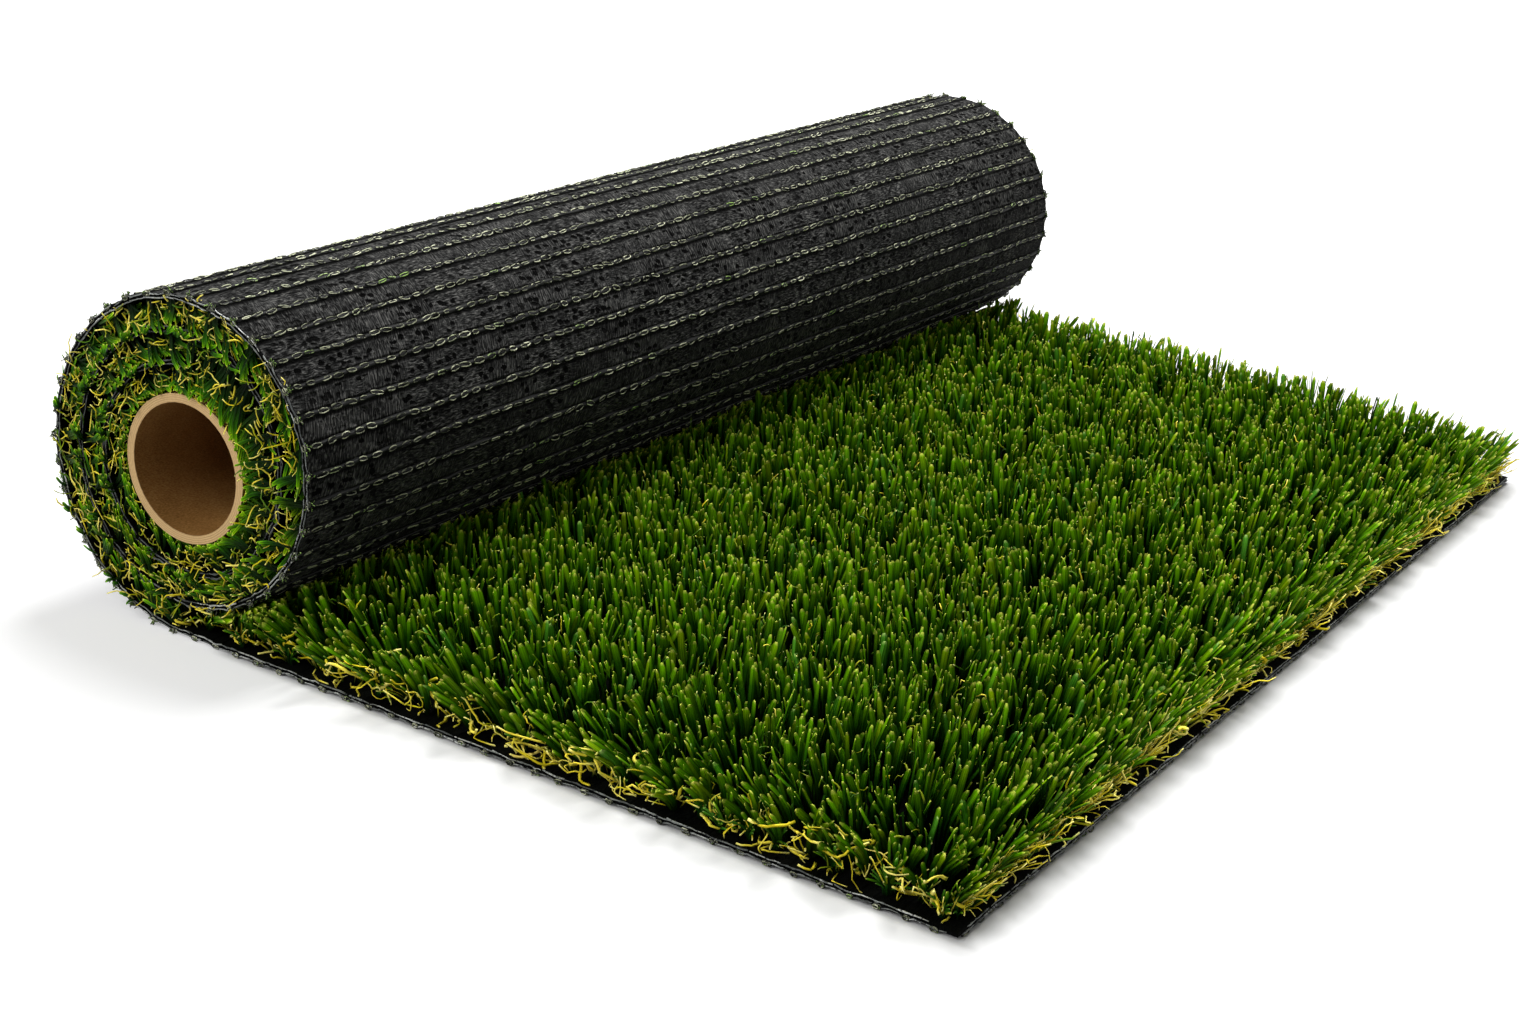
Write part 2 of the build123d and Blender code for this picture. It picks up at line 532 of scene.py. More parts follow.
def backing_material():
    """Coated black cloth: fibre strokes, pinholes between the rows and a groove at each row; the pinholes
    and a band beside each row are painted near black as shade.
    """
    shade = Shade(bpy.data.materials.new("coated_backing"))
    _, x, y, z = shade.place()
    run, inside = sheet_place(x, z)
    sheet = shade.vector(run, y, 0.0)
    warp = shade.noise(sheet, 120.0, 2.0) * 3.0
    lying = shade.vector(run * 260.0 + warp, y * 900.0 + run * 300.0, 0.0)
    standing = shade.vector(run * 1000.0 + warp, y * 210.0, 4.0)
    strokes_across = shade.noise(lying, 1.0, 2.0, 0.6)
    strokes_along = shade.noise(standing, 1.0, 2.0, 0.6)
    turned = shade.steps(shade.noise(sheet, 18.0, 2.0), 0.42, 0.58)
    strokes = strokes_across * turned + strokes_along * (1 - turned)
    patches = shade.noise(sheet, 55.0, 3.0, 0.6)
    first_row = -(LAID_LENGTH - EDGE_MARGIN)
    phase = ((run - first_row) / ROW_GAUGE - 0.04).apply("FRACT")
    from_row = 0.5 - (phase - 0.5).apply("ABSOLUTE")
    between = shade.steps(from_row, 0.2, 0.33)
    ragged = shade.vector(run * 215.0 + warp * 0.35, y * 150.0 + warp * 0.3, 0.0)
    flat_cells = {"voronoi_dimensions": "2D"}
    cells = shade.node("ShaderNodeTexVoronoi", flat_cells, {"Vector": ragged, "Scale": 1.0})
    hole_field = Value(shade, cells.outputs["Distance"])
    choice = shade.value("ShaderNodeSeparateColor", {}, {"Color": cells.outputs["Color"]})
    area = shade.steps(shade.noise(sheet, 14.0, 2.0), 0.38, 0.54)
    ragged_rim = hole_field + strokes_across * 0.3
    # The pinholes are painted near black, as shade inside them
    holes = (1 - shade.steps(ragged_rim, 0.44, 0.56)) * (choice > 0.5) * between * area
    # A band beside each row darkened as painted shade of the loops; it also sinks the bump a little
    row_groove_and_shade = 1 - shade.steps(from_row, 0.13, 0.24)
    base = shade.ramp(
        strokes * 0.8 + patches * 0.2,
        {0.34: (8, 8, 8), 0.45: (32, 32, 32), 0.54: (69, 69, 68), 0.64: (118, 117, 114)},
    )
    tone = 0.5 + patches * 0.8
    strokes_with_painted_shade = shade.mix(holes.apply("MAXIMUM", row_groove_and_shade * 0.85), shade.scaled(base, tone), shown(1, 1, 1))
    cut = y.apply("ABSOLUTE") > (FAR_Y - 0.0004)
    free_end = x > (FREE_X - 0.0004)
    hidden = (inside + cut + free_end).apply("MINIMUM", 1.0)
    weave = shade.noise(shade.vector(run * 1400.0, y * 1400.0, z * 1400.0), 1.0, 1.0)
    plain = shade.ramp(weave, {0.35: (5, 5, 6), 0.7: (26, 27, 28)})
    # The pile side: black woven cloth, painted darker still as shade under the blades
    plain = shade.mix(inside, plain, shown(10, 11, 9))
    relief = shade.bump(strokes * 0.9 + patches * 0.6 - holes * 1.6 - row_groove_and_shade * 0.5, 0.8, 0.003)
    return shade.finish(shade.mix(hidden, strokes_with_painted_shade, plain), 0.5 + strokes * 0.3, 0.01, Normal=relief)


def cardboard_material():
    """Kraft board: fine fibres and paler cut ends with their plies."""
    shade = Shade(bpy.data.materials.new("kraft_board"))
    place, x, y, z = shade.place()
    across = x - AXIS_X
    up = z - AXIS_Z
    radius = across.hypot(up)
    angle = across.apply("ARCTAN2", up)
    fibres = shade.noise(shade.vector(angle * 60.0, y * 700.0 + angle * 30.0, radius * 900.0), 1.0, 4.0)
    blotches = shade.noise(place, 38.0, 3.0)
    rim = shade.steps(y.apply("ABSOLUTE"), FAR_Y - 0.0006, FAR_Y - 0.0001)
    plies = (radius * 5200.0).apply("SINE") * 0.5 + 0.5
    wall = shade.ramp(
        fibres * 0.7 + blotches * 0.3,
        {0.3: (112, 76, 34), 0.5: (148, 107, 57), 0.7: (176, 133, 80)},
    )
    cut = shade.ramp(fibres * 0.6 + plies * 0.4, {0.2: (206, 168, 116), 0.8: (236, 200, 146)})
    relief = shade.bump(fibres * 0.6 + plies * rim, 0.35, 0.0005)
    return shade.finish(shade.mix(rim, wall, cut), 0.7 + fibres * 0.2, 0.08, Normal=relief)


def pile_mass_material():
    """The pressed yarn deep between the turns, seen only through gaps, painted nearly black as shade."""
    shade = Shade(bpy.data.materials.new("pressed_yarn_painted_shade"))
    place, *_ = shade.place()
    lay = shade.noise(place, 420.0, 3.0)
    # Green yarn darkened to nearly black: painted shade
    body = shade.ramp(lay, {0.35: (1, 3, 1), 0.6: (8, 16, 3), 0.75: (26, 38, 8)})
    return shade.finish(body, 0.6, 0.03, Normal=shade.bump(lay, 0.8, 0.003))


# Places along a blade from root to tip, and its width at each
BLADE_PLACES = np.array([0.0, 0.55, 0.94, 1.0])
BLADE_TAPER = np.array([0.6, 1.0, 0.9, 0.42])
FINE_PLACES = np.array([0.0, 0.35, 0.68, 0.94, 1.0])
FINE_TAPER = np.array([0.55, 0.95, 1.0, 0.88, 0.42])


def add_blades(strands, root, bend, tip, width, facing, tint, fine, first=0.0):
    """Blades along a curve from root to tip that is drawn towards bend.

    first is the place in the colour map at the root, where 0 is the dark foot painted as shade.
    """
    places = FINE_PLACES if fine else BLADE_PLACES
    taper = FINE_TAPER if fine else BLADE_TAPER
    t = places[None, :, None]
    path = root[:, None] * (1 - t) ** 2 + bend[:, None] * 2 * t * (1 - t) + tip[:, None] * t ** 2
    wide = width[:, None] * taper[None, :]
    strands.add(path, wide, wide * 0.22, facing, tint, places=first + (1 - first) * places)


def roll_clearance_lean(x, length):
    """How far a blade rooted at x on the laid run leans from upright to clear the roll."""
    radius = half_turn_radius(1) + THICKNESS / 2 + STITCH_PROUD + 0.001
    centre_z = AXIS_Z + PITCH / 2
    leans = np.radians(np.arange(0, 88, 2.0))
    clear = np.ones((len(x), len(leans)), bool)
    for share in (0.6, 0.8, 1.0):
        px = x[:, None] - AXIS_X + length[:, None] * share * np.sin(leans)
        pz = THICKNESS + length[:, None] * share * np.cos(leans)
        clear &= np.hypot(px, pz - centre_z) > radius
    first = np.argmax(clear, 1)
    first = np.where(clear.any(1), first, len(leans) - 1)
    return leans[first]


def laid_tufts():
    """Where the standing tufts are rooted, with every other row shifted along."""
    rows = np.arange(0, int((LAID_LENGTH - EDGE_MARGIN) / ROW_GAUGE) + 1)
    across = np.arange(NEAR_Y + EDGE_MARGIN, FAR_Y - EDGE_MARGIN + 1e-6, STITCH_STEP)
    row, y = np.meshgrid(rows, across, indexing="ij")
    x = FREE_X - EDGE_MARGIN - row * ROW_GAUGE
    x = x + random.normal(0, 0.0007, x.shape)
    y = y + (row % 2) * STITCH_STEP * 0.4 + random.normal(0, 0.0012, x.shape)
    y = np.clip(y, NEAR_Y + EDGE_MARGIN - 0.002, FAR_Y - EDGE_MARGIN + 0.002)
    keep = x > AXIS_X + 0.004
    return x[keep], y[keep]


def edge_distances(x, y):
    """Distances in from the outermost tufts at the near, far and free edge."""
    return y - (NEAR_Y + EDGE_MARGIN), (FAR_Y - EDGE_MARGIN) - y, (FREE_X - EDGE_MARGIN) - x


def edge_axes(way):
    """The way out over an open edge, and the way along it."""
    return np.array([way[0], way[1], 0.0]), np.array([way[1], way[0], 0.0])


def at_height(x, y, height):
    """Points over the laid stretch, all at one height or each at its own."""
    return np.stack([x, y, np.broadcast_to(height, x.shape)], -1)


def level_ways(turn):
    """Level directions, each at its own turn."""
    return np.stack([np.cos(turn), np.sin(turn), np.zeros(len(turn))], -1)


def splay(distance, reach, most):
    """A lean or a loss that is most at an edge and dies away within about reach."""
    return most * np.exp(-np.maximum(distance, 0) / reach)


def grow_laid_pile(material):
    """The standing pile, as four bands along the roll."""
    x, y = laid_tufts()
    names = ("grass_near", "grass_near_middle", "grass_far_middle", "grass_far")
    band = np.minimum(((y - NEAR_Y) / (FAR_Y - NEAR_Y) * len(names)).astype(int), len(names) - 1)
    pieces = []
    for index, name in enumerate(names):
        strands = Strands()
        fill_laid_band(strands, x[band == index], y[band == index])
        pieces.append(strands.build(name, material))
    return pieces


def blade_lengths(number):
    """Mostly full height, with some cut shorter and some left tall."""
    length = BLADE_LENGTH * random.normal(0.98, 0.06, number)
    kind = random.random(number)
    length = np.where(kind < 0.62, BLADE_LENGTH * random.uniform(0.66, 0.95, number), length)
    length = np.where(kind < 0.22, BLADE_LENGTH * random.uniform(0.45, 0.7, number), length)
    return np.clip(length, BLADE_LENGTH * 0.45, BLADE_LENGTH * 1.12)


def blade_widths(number):
    wide = random.uniform(0.85, 1.4, number)
    thin = random.uniform(0.4, 0.75, number)
    return BLADE_WIDTH * np.where(random.random(number) < 0.68, wide, thin)


def fill_laid_band(strands, x, y):
    """Full tufts that lean out over the open edges, then the thinner blades among them."""
    to_near, to_far, to_free = edge_distances(x, y)
    nearest = np.minimum.reduce([to_near, to_far, to_free])
    lean_x = -0.08 + 0.10 * smooth_field(x, y, 3, 0.06) + splay(to_free, 0.045, 0.5)
    lean_y = 0.09 * smooth_field(x, y, 4, 0.06) - splay(to_near, 0.040, 0.72) + splay(to_far, 0.03, 0.4)
    lean_x = lean_x + random.normal(0, 0.11, len(x))
    lean_y = lean_y + random.normal(0, 0.11, len(x))
    tall = 1 + 0.05 * smooth_field(x, y, 5, 0.035) + random.normal(0, 0.05, len(x))
    on_edge = nearest < EDGE_BAND
    for chosen, fine in ((on_edge, True), (~on_edge, False)):
        count = BLADES_A_TUFT + (4 if fine else 0)
        tx, ty, lx, ly, high = (
            np.repeat(part[chosen], count) for part in (x, y, lean_x, lean_y, tall)
        )
        number = len(tx)
        turn = np.tile(np.arange(count) * 2 * math.pi / count, len(x[chosen]))
        turn = turn + random.normal(0, 0.6, number)
        fan = random.uniform(0.02, 0.17, number) + (0.16 * random.random(number) if fine else 0)
        shorter = splay(nearest[chosen], 0.010, 0.08)
        length = blade_lengths(number) * high * np.repeat(1 - shorter, count)
        aim_x = lx + fan * np.cos(turn)
        aim_y = ly + fan * np.sin(turn)
        needed = np.tan(roll_clearance_lean(tx, length))
        clear = needed + random.uniform(0, 0.15, number)
        aim_x = np.where(needed > 0, np.maximum(aim_x, clear), aim_x)
        rise = length / np.sqrt(1 + aim_x ** 2 + aim_y ** 2)
        root = at_height(tx, ty, THICKNESS - ROOT_SUNK) + level_ways(turn) * 0.0014
        tip = root + np.stack([aim_x * rise, aim_y * rise, rise], -1)
        bow = random.uniform(0.3, 0.6, number)
        bend = root + np.stack([aim_x * rise * 0.5 * bow, aim_y * rise * 0.5 * bow, rise * 0.55], -1)
        tip[:, :2] += random.normal(0, 0.0016, (number, 2))
        facing = level_ways(turn + random.normal(0, 0.9, number))
        slim = splay(np.minimum(to_free, to_far)[chosen], 0.010, 0.4)
        width = blade_widths(number) * np.repeat(1 - slim, count)
        tint = random.random(number)
        add_blades(strands, root, bend, tip, width, facing, tint, fine, 0.3 if fine else 0.0)
    add_hooked_blades(strands, x, y)
    add_foot_blades(strands, x, y)


def add_hooked_blades(strands, x, y):
    """Thin blades whose tips bend over."""
    chosen = (random.random(len(x)) < 0.22) & (x - AXIS_X > 0.09)
    number = int(chosen.sum())
    way = level_ways(random.uniform(0, 2 * math.pi, number))
    root = at_height(x[chosen], y[chosen], THICKNESS)
    rise = BLADE_LENGTH * random.uniform(0.8, 1.0, number)[:, None]
    reach = random.uniform(0.003, 0.009, number)[:, None]
    bend = root + UP * rise * 1.35 + way * reach * 0.3
    tip = root + UP * rise * random.uniform(0.72, 0.9, (number, 1)) + way * reach
    width = BLADE_WIDTH * random.uniform(0.28, 0.5, number)
    add_blades(strands, root, bend, tip, width, way, random.random(number), True)


def add_foot_blades(strands, x, y):
    """Short blades that fan out low along the open edges."""
    count = 11
    for distance, way in zip(edge_distances(x, y), OPEN_EDGES):
        chosen = (distance < FOOT_BAND) & (random.random(len(x)) < 0.6)
        tx, ty = (np.repeat(part[chosen], count) for part in (x, y))
        number = len(tx)
        out, side = edge_axes(way)
        root = at_height(tx, ty, THICKNESS)
        shift = np.repeat(random.uniform(0.001, 0.0075, int(chosen.sum())), count)[:, None]
        root = root + side * random.normal(0, 0.0008, (number, 1)) + out * shift
        length = random.uniform(0.008, 0.017, (number, 1))
        aim = out * random.uniform(-0.4, 0.9, (number, 1)) + side * random.normal(0, 0.7, (number, 1))
        tip = root + unit(aim + UP) * length
        bend = root + UP * length * 0.6
        width = BLADE_WIDTH * random.uniform(0.25, 0.5, number)
        tint = random.uniform(0, 0.5, number) * (random.random(number) < 0.5)
        add_blades(strands, root, bend, tip, width, np.broadcast_to(out, root.shape), tint, True)


def crimped_paths(root, aim, length, kink, rings, curl=0.0):
    """Crimped yarn that sets out from root along aim, bends at every step and curls at its end."""
    sweep = 0.7
    number = len(root)
    ahead = unit(aim)
    side = unit(np.cross(ahead, random.normal(size=(number, 3))))
    step = (length / (rings - 1))[:, None]
    drift = random.normal(0, kink * sweep, number)
    angle = random.normal(0, kink * 0.4, number)
    path = [root]
    for ring in range(1, rings):
        way = ahead * np.cos(angle)[:, None] + side * np.sin(angle)[:, None]
        path.append(path[-1] + way * step)
        bend = kink + curl * (ring / rings) ** 3
        angle = angle + drift + random.normal(0, bend, number)
    return np.stack(path, 1)


def add_yarn(strands, path, width, narrowing, tint, first):
    """Yarn that narrows towards its end and faces any way."""
    wide = width[:, None] * np.linspace(1.0, narrowing, path.shape[1])
    strands.add(path, wide, wide * 0.5, unit(random.normal(size=(len(path), 3))), tint, first=first)


def keep_over_cloth(path):
    """Hold yarn back to the cloth's edges where it is low; higher up it may reach past them."""
    for way, edge, slope in zip(OPEN_EDGES, (-NEAR_Y, FAR_Y, FREE_X), (0.7, 0.7, 0.95)):
        out, _ = edge_axes(way)
        limit = edge + (path[..., 2] - THICKNESS) * slope - 0.0015
        past = np.maximum(path @ out - limit, 0.0)
        path = path - past[..., None] * out
    return path


def add_edge_yarn(strands, root, aim, length, kink, width, tint, curl, first, rings=8, top=0.1):
    """Yarn over an open edge, held above the cloth and pressed down where it rises past top."""
    path = crimped_paths(root, aim, length, kink, rings, curl)
    above = np.maximum(path[..., 2] - top, 0.0)
    path[..., 2] = np.maximum(path[..., 2] - above * 0.75, THICKNESS + 0.0004)
    add_yarn(strands, keep_over_cloth(path), width, 0.8, tint, first)


def add_fanned_yarn(strands, x, y, way, count, longest, slopes):
    """Olive and straw yarn that leans out over an open edge with the blades and curls at its end."""
    out, side = edge_axes(way)
    tx, ty = np.repeat(x, count), np.repeat(y, count)
    number = len(tx)
    root = at_height(tx, ty, THICKNESS + 0.0005)
    root = root + side * random.normal(0, 0.003, (number, 1))
    root = root + out * random.uniform(-0.001, 0.005, (number, 1))
    aim = out * random.uniform(*slopes, (number, 1)) + side * random.normal(0, 0.3, (number, 1))
    aim[:, 2] = 1.0
    fullness = 0.8 + 0.45 * smooth_field(tx, ty, 9, 0.028)
    length = random.uniform(0.45, 1.0, number) * longest * np.clip(fullness, 0.25, 1.15)
    width = CURL_WIDTH * random.uniform(0.45, 0.9, number)
    tint = random.uniform(0.2, 0.95, number)
    add_edge_yarn(strands, root, aim, length, 0.12, width, tint, 1.2, 0.1)


def add_low_curls(strands, x, y, way, count, longest):
    """Bright kinked yarn that lies low along an open edge."""
    out, side = edge_axes(way)
    tx, ty = np.repeat(x, count), np.repeat(y, count)
    number = len(tx)
    height = THICKNESS + 0.001 + 0.024 * random.random(number) ** 1.2
    root = at_height(tx, ty, height) + side * random.normal(0, 0.006, (number, 1))
    root = root + out * (random.random(number) * (0.003 + 0.9 * height))[:, None]
    aim = out * 0.6 + side * random.normal(0, 1.0, (number, 1))
    aim[:, 2] = random.normal(0.15, 0.45, number)
    length = random.uniform(0.3, 1.0, number) * longest
    width = CURL_WIDTH * (0.6 + 1.1 * random.random(number) ** 2)
    tint = random.uniform(0.38, 0.97, number)
    add_edge_yarn(strands, root, aim, length, 0.42, width, tint, 0.0, 0.5, 9, 0.026)


def grow_laid_thatch(material):
    """Straw-coloured yarn: thick along the open edges, little and greener among the blades."""
    x, y = laid_tufts()
    strands = Strands()
    for distance, way, yarn in zip(edge_distances(x, y), OPEN_EDGES, EDGE_YARNS):
        fanned, fan_length, slopes, curled, curl_length = yarn
        foot = distance < FOOT_BAND
        add_fanned_yarn(strands, x[foot], y[foot], way, fanned, fan_length, slopes)
        add_low_curls(strands, x[foot], y[foot], way, curled, curl_length)
    clear = x - AXIS_X > 0.085
    for share, low, high, tints in INNER_THATCH:
        chosen = clear & (random.random(len(x)) < share)
        number = int(chosen.sum())
        root = at_height(x[chosen], y[chosen], random.uniform(low, high, number))
        root[:, :2] += random.normal(0, 0.004, (number, 2))
        aim = np.stack([*random.normal(0, 0.8, (2, number)), np.ones(number)], -1)
        length = random.uniform(0.004, 0.011, number)
        width = CURL_WIDTH * random.uniform(0.45, 0.8, number)
        tint = random.uniform(*tints, number)
        add_yarn(strands, crimped_paths(root, aim, length, 0.7, 5), width, 0.75, tint, 0.3)
    return strands.build("thatch_laid", material)


def rows_in_winding(first, last):
    """Distances along the sheet of the tufted rows between two others."""
    start = -(LAID_LENGTH - EDGE_MARGIN)
    count = int((last - start) / ROW_GAUGE) + 1
    rows = start + np.arange(count) * ROW_GAUGE
    return rows[(rows > first) & (rows < last)]


def scattered(rows, count, spread):
    """Several places along the sheet near each row."""
    return np.repeat(rows, count) + random.normal(0, spread, len(rows) * count)


def grow_wound_end(name, end_y, outward, material):
    """The pressed tufts that show between the turns on one end of the roll."""
    strands = Strands()
    rows = rows_in_winding(0.0, WOUND_LENGTH)
    for depth, count in WOUND_LAYERS:
        add_pressed_tufts(strands, rows, end_y, outward, depth, count)
    return strands.build(name, material)


def add_pressed_tufts(strands, rows, end_y, outward, depth, count):
    """One layer of tufts: the blades of each fan out, and bend over along the turn.

    Those beside the core stand up to it. In the front layer some hang over the next turn's edge,
    and some are bent back over the edge of their own cloth.
    """
    tuft = np.repeat(np.arange(len(rows)), count)
    number = len(tuft)
    out_axis = np.array([0.0, outward, 0.0])
    run = np.clip(scattered(rows, count, 0.0017), 0.001, WOUND_LENGTH - 0.001)
    _, along, inward = sheet_frame(run)
    y = end_y - outward * (depth + random.uniform(-0.002, 0.002, number))
    root = sheet_point(run, y, np.full(number, THICKNESS / 2 - ROOT_SUNK))
    gap = wound_gap(run)
    fan = np.tile(np.linspace(-0.32, 0.32, count), len(rows))
    beside_core = run > HALF_TURN_ENDS[2]
    into_wedge = np.clip((run - HALF_TURN_ENDS[2]) / 0.11, 0.0, 1.0)
    lean = random.normal(0.8, 0.3, len(rows))[tuft] * np.where(beside_core, 0.45 * into_wedge, 1.0)
    lean = np.clip(lean + fan + random.normal(0, 0.10, number), -1.35, 1.35)
    least = np.where(beside_core, 1.0, 0.8)
    reach = np.minimum(random.uniform(least, 1.6, number) * gap, BLADE_LENGTH)
    front = depth < 0.005
    right = root[:, 0] > AXIS_X + 0.02
    loose_share = np.where(right, 0.35, 0.65)
    loose = (random.random(len(rows)) < 0.6)[tuft] & (random.random(number) < loose_share) & front
    under_core = np.abs(run - HALF_TURN_ENDS[3] + 0.009) < 0.008
    over = loose & (~beside_core | under_core)
    low_left = (root[:, 0] < AXIS_X - 0.035) & (root[:, 2] < AXIS_Z * 1.45)
    share = np.where(run > OUTER_LENGTH, np.where(right, 0.1, 0.45), low_left * 0.35)
    back = ~over & (random.random(len(rows)) < 0.85)[tuft] & (random.random(number) < share) & front
    high = np.minimum(reach * np.cos(lean), gap * 0.97)
    high = np.where(beside_core, gap * random.uniform(0.90, 1.03, number), high)
    high = np.where(over, gap + random.uniform(0.0, 0.005, number), high)
    high = np.where(back, -THICKNESS * random.uniform(0.6, 1.6, number), high)
    slide = reach * np.sin(lean) * np.where(over | back, 0.6, 1.0)
    out = random.uniform(-0.001, 0.005, number) if front else random.uniform(0, 0.006, number)
    past = np.where(back & (run < OUTER_LENGTH), 0.0022, 0.0050)
    out = np.where(over | back, depth + random.uniform(0.0005, past), out)
    out = np.where(beside_core & ~over & ~back & front, depth + random.uniform(-0.002, 0.003, number), out)
    tip = root + inward * high[:, None] + along * slide[:, None] + out_axis * out[:, None]
    tip = np.where((over | back | beside_core)[:, None], tip, keep_inside(tip, run, slide))
    bend = root + inward * np.where(back, 0.002, high * 0.75)[:, None] + along * (slide * 0.22)[:, None]
    bend = bend + out_axis * (out * np.where(back, 1.6, np.where(over, 0.9, 0.6)))[:, None]
    tip = np.where(under_core[:, None], tip, keep_off_core(tip, -0.0015))
    width = BLADE_WIDTH * random.uniform(0.3, 0.7, number)
    facing = out_axis + random.normal(0, 0.35, (number, 3))
    tint = 0.5 + random.random(len(rows))[tuft] * 0.3 + random.random(number) * 0.19
    add_blades(strands, root, bend, tip, width, facing, tint, True)


def wound_gap(run):
    """Free height above the cloth, up to the next turn or the core."""
    middle, _, _ = sheet_frame(run)
    to_core = np.hypot(middle[:, 0] - AXIS_X, middle[:, 2] - AXIS_Z) - CORE_RADIUS - THICKNESS / 2
    to_turn = PITCH - THICKNESS
    inner = run > HALF_TURN_ENDS[2]
    return np.where(inner, to_core, to_turn)


def keep_inside(tip, run, slide):
    """Pull a tip back between the turns that it has slid along."""
    there = np.clip(run + slide, 0.0, WOUND_LENGTH)
    middle, _, inward = sheet_frame(there)
    offset = ((tip - middle) * inward).sum(-1)
    low = THICKNESS / 2 + 0.001
    high = THICKNESS / 2 + wound_gap(there) - 0.001
    wanted = np.clip(offset, low, high)
    return tip + inward * (wanted - offset)[:, None]


def keep_off_core(path, past=0.0006):
    """Push yarn out to the core's wall where it would cross the open bore."""
    across = path[..., 0] - AXIS_X
    up = path[..., 2] - AXIS_Z
    stretch = np.maximum((CORE_RADIUS + past) / np.hypot(across, up), 1.0)
    return np.stack([AXIS_X + across * stretch, path[..., 1], AXIS_Z + up * stretch], -1)


def grow_wound_thatch(name, end_y, outward, material):
    """Straw-coloured yarn between the turns, gathered in places and nearest to the cloth."""
    strands = Strands()
    rows = rows_in_winding(0.0, WOUND_LENGTH)
    run = np.clip(scattered(rows, 15, 0.005), 0.001, WOUND_LENGTH - 0.001)
    run = run[smooth_field(run, 0.0, 8, 0.07) > random.uniform(-1.6, 0.5, len(run))]
    number = len(run)
    _, along, inward = sheet_frame(run)
    y = end_y - outward * random.uniform(-0.0025, 0.003, number)
    share = random.random(number) ** 1.5
    root = sheet_point(run, y, THICKNESS / 2 + 0.001 + share * (wound_gap(run) - 0.005))
    out_axis = np.array([0.0, outward, 0.0])
    aim = inward * random.uniform(-0.1, 1.0, (number, 1)) + along * random.normal(0, 0.9, (number, 1))
    aim = aim + out_axis * random.uniform(-0.1, 0.2, (number, 1))
    length = random.uniform(0.006, 0.018, number)
    width = CURL_WIDTH * random.uniform(0.45, 0.85, number)
    straw = random.random(number) < 0.6
    tint = np.where(straw, random.uniform(0.4, 0.95, number), random.uniform(0.15, 0.4, number))
    path = keep_off_core(crimped_paths(root, aim, length, 0.4, 7))
    add_yarn(strands, path, width, 0.75, tint, 0.3)
    return strands.build(name, material)


def grow_pile_mass(material):
    """The pressed pile between the turns, a little way in from both ends."""
    setback = 0.011
    step = 0.006
    across = np.linspace(0, 1, 5)
    points = []
    faces = []
    for begin, end in ((0.0, HALF_TURN_ENDS[2]), (HALF_TURN_ENDS[2], WOUND_LENGTH)):
        run = np.linspace(begin + 0.0005, end - 0.0005, int((end - begin) / step))
        gap = np.maximum(wound_gap(run) - 0.0006, 0.001)
        heights = THICKNESS / 2 + 0.0003 + gap[:, None] * across[None, :]
        grids = []
        for _, end_y, outward in SHEET_ENDS:
            y = end_y - outward * setback + random.uniform(-0.003, 0.003, heights.shape)
            grid = sheet_point(np.broadcast_to(run[:, None], heights.shape), y, heights).reshape(-1, 3)
            start = sum(len(part) for part in points)
            points.append(grid)
            grids.append(start + np.arange(len(grid)).reshape(heights.shape))
        near, far = grids
        faces += quads_of(near) + quads_of(far[:, ::-1])
        rim = ring_of(near)
        other = ring_of(far)
        for index in range(len(rim)):
            after = (index + 1) % len(rim)
            faces.append((rim[index], rim[after], other[after], other[index]))
    mesh = bpy.data.meshes.new("pressed_pile")
    mesh.from_pydata(np.concatenate(points).tolist(), [], faces)
    mesh.materials.append(material)
    return add_object("pressed_pile", mesh)


def quads_of(grid):
    """Faces of a grid of point numbers."""
    quads = np.stack([grid[:-1, :-1], grid[:-1, 1:], grid[1:, 1:], grid[1:, :-1]], -1)
    return [tuple(int(number) for number in quad) for quad in quads.reshape(-1, 4)]


def ring_of(grid):
    """The outer points of a grid, in order round it."""
    ring = [*grid[:, 0], *grid[-1, 1:], *grid[-2::-1, -1], *grid[0, -2:0:-1]]
    return [int(number) for number in ring]


def circle(points):
    return np.linspace(0, 2 * math.pi, points, endpoint=False)[None, :]


def chain_links(strands, rows, lengths, proud):
    """Locked stitches on the side with the coating: loops in a row, each a little askew."""
    start = NEAR_Y + 0.004
    counts = ((FAR_Y - NEAR_Y - 0.008) / lengths).astype(int)
    place = np.concatenate([np.arange(count) for count in counts])
    length = np.repeat(lengths, counts)
    number = len(place)
    run = np.repeat(rows, counts) + random.normal(0, 0.0003, number)
    y = start + (place + 0.5) * length + random.normal(0, 0.06, number) * length
    turn = circle(8)
    half = length[:, None] * random.uniform(0.32, 0.46, (number, 1))
    opening = 0.9 + 0.25 * smooth_field(run * 3, y, 11, 0.16)
    wide = LINK_WIDTH * (random.uniform(0.7, 1.15, number) * opening)[:, None]
    skew = random.normal(0, 0.09, (number, 1))
    loop_y = y[:, None] + half * np.cos(turn)
    loop_run = run[:, None] + wide * np.sin(turn) + skew * half * np.cos(turn)
    tilt = random.uniform(0, 2 * math.pi, (number, 1))
    height = -(THICKNESS / 2 + proud * (0.42 + 0.3 * np.sin(turn + tilt)))
    _, _, inward = sheet_frame(np.clip(loop_run, None, OUTER_LENGTH))
    thick = random.uniform(0.0008, 0.0012, (number, 1))
    tint = random.uniform(0.42, 0.99, number)
    strands.add(sheet_point(loop_run, loop_y, height), thick, thick * 0.7, -inward, tint, closed=True)


